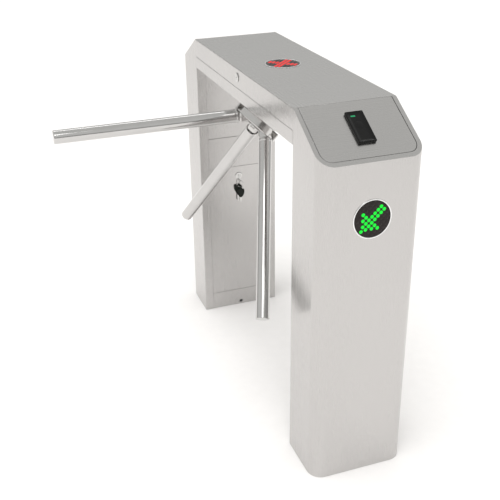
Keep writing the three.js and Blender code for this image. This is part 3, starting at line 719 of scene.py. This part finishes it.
def reader_ring(share, height, lift, radius):
    """A rounded rectangle whose corners stand higher than its sides."""
    half_x, half_y = (size * share for size in READER_HALF)
    half_x = READER_HALF[0] - READER_HALF[1] * (1 - share) if share > 0.6 else half_x
    ring = rectangle(half_x, half_y, radius, 5)
    return [Vector((p.x, p.y, height + lift * abs(p.x * p.y) / (half_x * half_y)))
            for p in ring]


def reader_body():
    """Black housing: straight foot, rolled rim with raised corners, and a dished face."""
    corner = 2.6 * MM
    levels = [(0.985, 0.3, 0.0, corner), (1.0, 2.0, 1.5, corner), (0.998, 2.6, 3.4, corner),
              (0.985, 3.1, 4.6, corner * 0.9), (0.965, 3.5, 5.0, corner * 0.8),
              (0.945, 3.6, 4.6, corner * 0.8), (0.92, 3.6, 3.2, corner * 0.8),
              (0.86, 3.7, 1.6, corner), (0.76, 3.8, 0.4, corner)]
    bm = bmesh.new()
    loft(bm, [reader_ring(share, z * MM, lift * MM, radius)
              for share, z, lift, radius in levels])
    bmesh.ops.recalc_face_normals(bm, faces=bm.faces)
    return bm


def arc_band(radius, width, sweep, low, high, steps=12):
    """A flat band bent to an arc, open towards -X."""
    angles = [sweep * (k / steps - 0.5) for k in range(steps + 1)]
    loop = [Vector((r * math.cos(a), r * math.sin(a)))
            for r, order in ((radius + width / 2, angles), (radius - width / 2, angles[::-1]))
            for a in order]
    return slab(loop, low, high, 0.1 * MM, steps=1)


READER_FACE = 3.8 * MM


def reader_mark():
    """Three plain waves beside a dot, for where a card is held."""
    waves = [arc_band(r * MM, 0.9 * MM, math.radians(100), READER_FACE, READER_FACE + 0.3 * MM)
             for r in (3.0, 5.2, 7.4)]
    spot = moved(dome(1.0 * MM, 0.35 * MM), Matrix.Translation((0, 0, READER_FACE)))
    return moved(together(*waves, spot), Matrix.Translation((-2 * MM, -12 * MM, 0)))


def reader_window():
    """The raised round sensing field in the upper half of the face."""
    rim = slab(circle(13 * MM, segments=48), READER_FACE, READER_FACE + 0.8 * MM, 0.35 * MM,
               [circle(11.4 * MM, segments=48)])
    pad = moved(dome(11.0 * MM, 0.9 * MM, 48, 4), Matrix.Translation((0, 0, READER_FACE)))
    return moved(together(rim, pad), Matrix.Translation((0, 10 * MM, 0)))


for end, turn in ENDS.items():
    at = CABINET @ turn
    on_reader = at @ ON_SLOPE @ Matrix.Translation(
        (READER_X, READER_UP_SLOPE - math.hypot(SLOPE_DROP, PILLAR_DEPTH), 0))
    piece(f"{end}_slope_sheet", slope_panel(), STEEL_ACROSS, "cabinet",
          [f"{end}_slope_panel"], at)
    piece(f"{end}_reader_body", reader_body(), READER_BLACK, "cabinet",
          [f"{end}_reader"], on_reader)
    piece(f"{end}_reader_window", reader_window(), READER_BLACK, "cabinet",
          at=on_reader)
    piece(f"{end}_reader_mark", reader_mark(), LOCK_METAL, "cabinet",
          at=on_reader)
    light = slab(rectangle(6.0 * MM, 2.2 * MM, 1.0 * MM), READER_FACE, READER_FACE + 1.0 * MM,
                 0.3 * MM)
    piece(f"{end}_reader_light", moved(light, Matrix.Translation((-6 * MM, 36 * MM, 0))),
          STATUS_GREEN, "cabinet", at=on_reader)

# ---- signal lamps ---------------------------------------------------------------------------

# Diodes sit on a square grid that is turned so that the arrow's shaft runs along it. A cell is
# (u, v), with u along the shaft.
WINGS = {4: (-2, -1, 2, 3), 5: (-1, 2)}
ARROW_TIP = (7, 0.5)
ARROW = {(u, v) for u in range(7) for v in (0, 1)} | {ARROW_TIP} | {
    (u, v) for u, row in WINGS.items() for v in row}
BAR = {(u, v) for u in range(-3, 5) for v in (0, 1)}
CROSS = BAR | {(v, u) for u, v in BAR}


def diodes(cells, origin):
    """Domes on the lens at grid cells, counted from an origin in cells."""
    buttons = [moved(dome(LED_R, 0.9 * MM), Matrix.Translation(
        ((u - origin[0]) * LED_PITCH, (v - origin[1]) * LED_PITCH, 1.0 * MM)))
        for u, v in sorted(cells)]
    return together(*buttons)


def grid_cells(origin):
    """Every cell whose diode fits on the lens."""
    reach = LENS_R - LED_R - 1.5 * MM
    span = range(-8, 12)
    return {(u, v) for u in span for v in span
            if math.hypot(u - origin[0], v - origin[1]) * LED_PITCH < reach}


def lamp(end, at, lit, origin, turn, colour, body):
    """Bezel, smoked lens, and its diodes. turn places the grid on the lens."""
    bezel = turned([(LENS_R + SEAM, -8 * MM), (LENS_R + 2 * MM, -8 * MM),
                    (LENS_R + 2 * MM, SEAM), (LENS_R + 3.4 * MM, SEAM),
                    (LENS_R + 3.5 * MM, 0.7 * MM), (LENS_R + 3.1 * MM, 1.2 * MM),
                    (LENS_R + 2.3 * MM, 1.4 * MM), (LENS_R + 0.8 * MM, 1.35 * MM),
                    (LENS_R + SEAM, 1.0 * MM)], 96)
    lens = turned([(0, -3 * MM), (LENS_R, -3 * MM), (LENS_R, 0.6 * MM),
                   (LENS_R - 0.4 * MM, 1.0 * MM), (0, 1.0 * MM)], 96)
    piece(f"{end}_lamp_ring", bezel, RING_METAL, body,
          [f"{end}_lamp_bezel"], at)
    piece(f"{end}_lamp_glass", lens, LENS, body, [f"{end}_lamp_lens"], at)
    unlit = {cell for cell in grid_cells(origin)
             if all(math.dist(cell, shining) > 0.9 for shining in lit)}
    piece(f"{end}_lamp_lit", diodes(lit, origin), colour, body, at=at @ turn)
    piece(f"{end}_lamp_unlit", diodes(unlit, origin), DARK_DIODE, body,
          at=at @ turn)


LAMP_FACE = Matrix.Translation((0, -HALF_L, LAMP_Z)) @ Matrix.Rotation(math.pi / 2, 4, "X")
ARROW_TURN = Matrix.Rotation(math.radians(-135), 4, "Z")
for end, turn in ENDS.items():
    lamp(end, CABINET @ turn @ LAMP_FACE, ARROW, (3.3, 0.5), ARROW_TURN, GREEN_LED, "cabinet")
lamp("top", CABINET @ Matrix.Translation((0, 0, HEIGHT)), CROSS, (0.5, 0.5),
     Matrix.Rotation(math.radians(45), 4, "Z"), RED_LED, "lid")

# ---- keys -----------------------------------------------------------------------------------

KEY_BOW = [(-10, 4.5), (10, 4.5), (13, 1), (12.5, -12), (9, -21), (3, -28), (-3, -28),
           (-9, -21), (-12.5, -12), (-13, 1)]
KEY_BLADE = [(-4, -30), (-4, -54), (0, -58), (3.4, -54.5), (2.2, -52), (3.6, -49.5),
             (2.0, -46.5), (4, -43.5), (2.6, -40.5), (4, -37.5), (4, -30)]
RING_CENTRE = Vector((1 * MM, 403 * MM, 498 * MM))
RING_R = 13 * MM


def on_ring(angle):
    """Where a key hangs on the ring, which stands across the corner between X and Y."""
    across = RING_R * math.sin(angle) / math.sqrt(2)
    return RING_CENTRE + Vector((-across, across, -RING_R * math.cos(angle)))


UPRIGHT = Matrix.Rotation(math.pi / 2, 4, "X")
# Name, place on the ring, and how far a strap lets the bow hang below the ring.
KEYS = (("key_1", math.pi / 5, 0.0), ("key_2", -math.pi / 15, 11 * MM))
for name, angle, drop in KEYS:
    at = CABINET @ Matrix.Translation(on_ring(angle)) @ UPRIGHT
    bow = filleted([Vector(p) * MM - Vector((0, drop)) for p in KEY_BOW], 5 * MM)
    strap = filleted([(-4.5 * MM, 4.5 * MM), (4.5 * MM, 4.5 * MM), (4.5 * MM, -12 * MM),
                      (-4.5 * MM, -12 * MM)], 3 * MM)
    blade = filleted([Vector(p) * MM for p in KEY_BLADE], 0.4 * MM, 2)
    ring_hole = circle(2.6 * MM, (0, 0), 24)
    moulding = slab(bow, -1.3 * MM, 1.3 * MM, 0.9 * MM, [] if drop else [ring_hole])
    if drop:
        moulding = together(moulding, slab(strap, -1.1 * MM, 1.1 * MM, 0.6 * MM, [ring_hole]))
    piece(f"{name}_bow", moulding, KEY_BLACK, name, [name], at)
    piece(f"{name}_blade", slab(blade, -0.9 * MM, 0.9 * MM, 0.2 * MM), LOCK_METAL, name,
          at=at)


def key_ring(radius=RING_R, wire=0.9 * MM, turns=64, sides=12):
    """A closed ring of round wire, standing across the corner between X and Y."""
    bm = bmesh.new()
    rings = []
    for k in range(turns):
        a = 2 * math.pi * k / turns
        outward = Vector((math.cos(a), 0, math.sin(a)))
        rings.append([outward * (radius + wire * math.cos(b)) + Vector((0, wire * math.sin(b), 0))
                      for b in (2 * math.pi * s / sides for s in range(sides))])
    loft(bm, rings + rings[:1], caps=False)
    bmesh.ops.remove_doubles(bm, verts=bm.verts, dist=1e-7)
    bmesh.ops.recalc_face_normals(bm, faces=bm.faces)
    return moved(bm, Matrix.Translation(RING_CENTRE) @ Matrix.Rotation(-math.pi / 4, 4, "Z"))


def key_stud():
    """The headed stud on the far door that the ring hangs on."""
    z = RING_CENTRE.z + RING_R - 2.7 * MM
    profile = [(0, 0), (1.5 * MM, 0), (1.5 * MM, 13 * MM), (2.6 * MM, 13 * MM),
               (3 * MM, 13.5 * MM), (2.8 * MM, 17 * MM), (1.6 * MM, 18.5 * MM), (0, 18.5 * MM)]
    stud = turned(profile, 24)
    return moved(stud, Matrix.Translation((RING_CENTRE.x, INNER_Y, z)) @ UPRIGHT)


piece("key_ring_wire", key_ring(), LOCK_METAL, "key_ring", ["key_ring"])
piece("far_door_stud", key_stud(), LOCK_METAL, "far_door")

# ---- rotor ----------------------------------------------------------------------------------

ARM_TURNS = [2 * math.pi * k / 3 for k in range(3)]
RIM_STEPS = 18


def hub_outline():
    """Disc with a slot for each arm, as one loop."""
    half_slot = math.asin(SLOT_HALF / HUB_R)
    corners, radii = [], []
    for turn, following in zip(ARM_TURNS, ARM_TURNS[1:] + [2 * math.pi]):
        spoke = Matrix.Rotation(turn, 2)
        corners += [spoke @ Vector((SLOT_DEPTH, -SLOT_HALF)),
                    spoke @ Vector((SLOT_DEPTH, SLOT_HALF))]
        radii += [4 * MM, 4 * MM]
        start, end = turn + half_slot, following - half_slot
        angles = [start + (end - start) * k / RIM_STEPS for k in range(RIM_STEPS + 1)]
        corners += [Vector((HUB_R * math.cos(a), HUB_R * math.sin(a))) for a in angles]
        radii += [2.5 * MM] + [0] * (RIM_STEPS - 1) + [2.5 * MM]
    return filleted(corners, radii)


def hub():
    """The slotted disc, bored for the shaft."""
    return slab(hub_outline(), HUB_NEAR, HUB_FAR, 2.6 * MM, [circle(HUB_BORE_R)], steps=4)


def hub_cap():
    """Washer and chamfered hexagon nut in the middle of the disc."""
    washer = turned([(0, HUB_FAR + SEAM), (21.4 * MM, HUB_FAR + SEAM),
                     (22 * MM, HUB_FAR + 1.0 * MM), (22 * MM, HUB_FAR + 4.2 * MM),
                     (21.2 * MM, HUB_FAR + 5 * MM), (0, HUB_FAR + 5 * MM)], 72)
    nut = slab(circle(9 * MM, segments=6), HUB_FAR + 4 * MM, HUB_FAR + 10 * MM, 0.7 * MM)
    return together(washer, nut)


def knuckle_ring(height, half_x, half_y):
    """A rounded rectangle about the arm's axis. Sizes are in millimetres."""
    corner = min(half_x, half_y) * 0.55
    return [Vector((p.x, p.y, height * MM))
            for p in rectangle(half_x * MM, half_y * MM, corner * MM, 5)]


def arm_root():
    """Rounded knuckle that fills a hub slot, drawn along the arm's own axis."""
    bm = bmesh.new()
    levels = [(53.7, 11.0, 8.0), (54.6, 14.5, 11.5), (56.5, 17.0, 14.0), (59, 18.2, 15.2),
              (62, 18.6, 15.5), (76, 18.6, 15.5), (80, 18.0, 15.2), (83, 16.6, 14.4),
              (84, 15.2, 13.6)]
    loft(bm, [knuckle_ring(*level) for level in levels])
    bmesh.ops.recalc_face_normals(bm, faces=bm.faces)
    return bm


def arm_tube():
    """Neck, rolled collar and tube with a closed tip, its corner slightly rounded."""
    tip = 2.6 * MM
    collar = ARM_R + 1.5 * MM
    profile = [(0, 82 * MM), (15 * MM, 82 * MM), (15 * MM, 87 * MM),
               (collar - 0.9 * MM, 87.4 * MM), (collar, 88.4 * MM), (collar, 93.4 * MM),
               (collar - 0.5 * MM, 94.3 * MM), (ARM_R + 0.2 * MM, 94.9 * MM), (ARM_R, 96 * MM)]
    profile += [(ARM_R - tip + tip * math.cos(a), ARM_LENGTH - tip + tip * math.sin(a))
                for a in (math.pi / 2 * k / 5 for k in range(6))]
    return turned(profile + [(0, ARM_LENGTH)], 64)


piece("hub_body", hub(), HUB_METAL, "rotor", ["hub_disc"], ROTOR)
piece("hub_nut", hub_cap(), LOCK_METAL, "rotor", ["hub_cap"], ROTOR)
for k, turn in enumerate(ARM_TURNS):
    at = ROTOR @ Matrix.Rotation(turn, 4, "Z") @ Matrix.Rotation(ARM_LEAN, 4, "Y")
    piece(f"bar_{k + 1}", arm_tube(), CHROME, "rotor", [f"arm_{k + 1}"], at)
    piece(f"bar_{k + 1}_knuckle", arm_root(), HUB_METAL, "rotor", at=at)

# ---- CAD nodes that stay --------------------------------------------------------------------

slots = {row["node"]: row["material_slot"] for row in frame["record"]["subparts"]}
for node, shown in frame["nodes"].items():
    if not shown.hide_render:
        shown.data.materials.clear()
        shown.data.materials.append(CARRIED[slots[node]])

# ---- stage, light and camera ----------------------------------------------------------------


def floor():
    """A pale, wide floor, just under the feet."""
    bm = bmesh.new()
    bmesh.ops.create_grid(bm, x_segments=1, y_segments=1, size=40)
    mesh = bpy.data.meshes.new("floor")
    bm.to_mesh(mesh)
    bm.free()
    made = Nodes("pale_floor")
    grain = made.noise((30.0, 30.0, 30.0), 3.0)
    made.set(Base_Color=made.tint(grain, (0.94, 0.92, 0.91), (0.96, 0.94, 0.93)),
             Roughness=0.85)
    mesh.materials.append(made.material)
    ground = bpy.data.objects.new("floor", mesh)
    ground.location.z = -0.5 * MM
    bpy.context.scene.collection.objects.link(ground)


def sky():
    """A pale studio ceiling that darkens where it meets the floor."""
    world = bpy.data.worlds.new("studio")
    bpy.context.scene.world = world
    world.use_nodes = True
    tree = world.node_tree
    place = tree.nodes.new("ShaderNodeTexCoord")
    split = tree.nodes.new("ShaderNodeSeparateXYZ")
    ramp = tree.nodes.new("ShaderNodeValToRGB")
    tree.links.new(place.outputs["Generated"], split.inputs[0])
    tree.links.new(split.outputs["Z"], ramp.inputs["Fac"])
    tree.links.new(ramp.outputs["Color"], tree.nodes["Background"].inputs["Color"])
    tree.nodes["Background"].inputs["Strength"].default_value = 1.0
    stops = ramp.color_ramp.elements
    stops[0].position, stops[0].color = 0.0, (0.06, 0.06, 0.06, 1)
    stops[1].position, stops[1].color = 1.0, (0.66, 0.665, 0.65, 1)
    for height, grey in ((0.05, 0.10), (0.14, 0.62), (0.45, 0.73)):
        stops.new(height).color = (grey, grey * 1.005, grey * 0.985, 1)


def sunlight(name, direction, watts, spread):
    """Even light on the floor, which the metal doesn't mirror."""
    light = bpy.data.lights.new(name, "SUN")
    light.energy, light.angle = watts, spread
    lamp_object = bpy.data.objects.new(name, light)
    lamp_object.rotation_euler = Vector(direction).to_track_quat("-Z", "Y").to_euler()
    lamp_object.visible_glossy = False
    bpy.context.scene.collection.objects.link(lamp_object)


def softbox(name, spot, aim, size, watts):
    """A lit panel, which shows in the tubes as a bright line."""
    light = bpy.data.lights.new(name, "AREA")
    light.shape = "RECTANGLE"
    light.size, light.size_y = size
    light.energy = watts
    lamp_object = bpy.data.objects.new(name, light)
    lamp_object.location = spot
    lamp_object.rotation_euler = (Vector(aim) - Vector(spot)).to_track_quat("-Z", "Y").to_euler()
    bpy.context.scene.collection.objects.link(lamp_object)


def camera():
    """Looks down along the cabinet from its near end, a little to the lane's side."""
    spot, lens = (-0.6285, -2.2182, 1.6055), 59.94
    azimuth, elevation, roll = (math.radians(a) for a in (-19.51, 26.36, -0.795))
    forward = Vector((-math.sin(azimuth) * math.cos(elevation),
                      math.cos(azimuth) * math.cos(elevation), -math.sin(elevation)))
    level = forward.cross(Vector((0, 0, 1))).normalized()
    upright = level.cross(forward)
    right = level * math.cos(roll) + upright * math.sin(roll)
    up = upright * math.cos(roll) - level * math.sin(roll)
    data = bpy.data.cameras.new("camera")
    data.lens, data.sensor_width = lens, 36.0
    data.clip_end = 100
    view = bpy.data.objects.new("camera", data)
    view.matrix_world = Matrix.Translation(spot) @ Matrix(
        (right, up, -forward)).transposed().to_4x4()
    bpy.context.scene.collection.objects.link(view)
    bpy.context.scene.camera = view


floor()
sky()
sunlight("even_light", (0.25, 0.2, -1), 1.65, math.radians(50))
softbox("front_light", (-0.75, -2.5, 3.9), (0, -0.2, 0.6), (1.5, 1.5), 16)
softbox("back_light", (0.4, 1.6, 3.2), (-0.4, 0, 0.9), (2.6, 0.3), 7)
camera()
bpy.context.scene.view_settings.view_transform = "Standard"
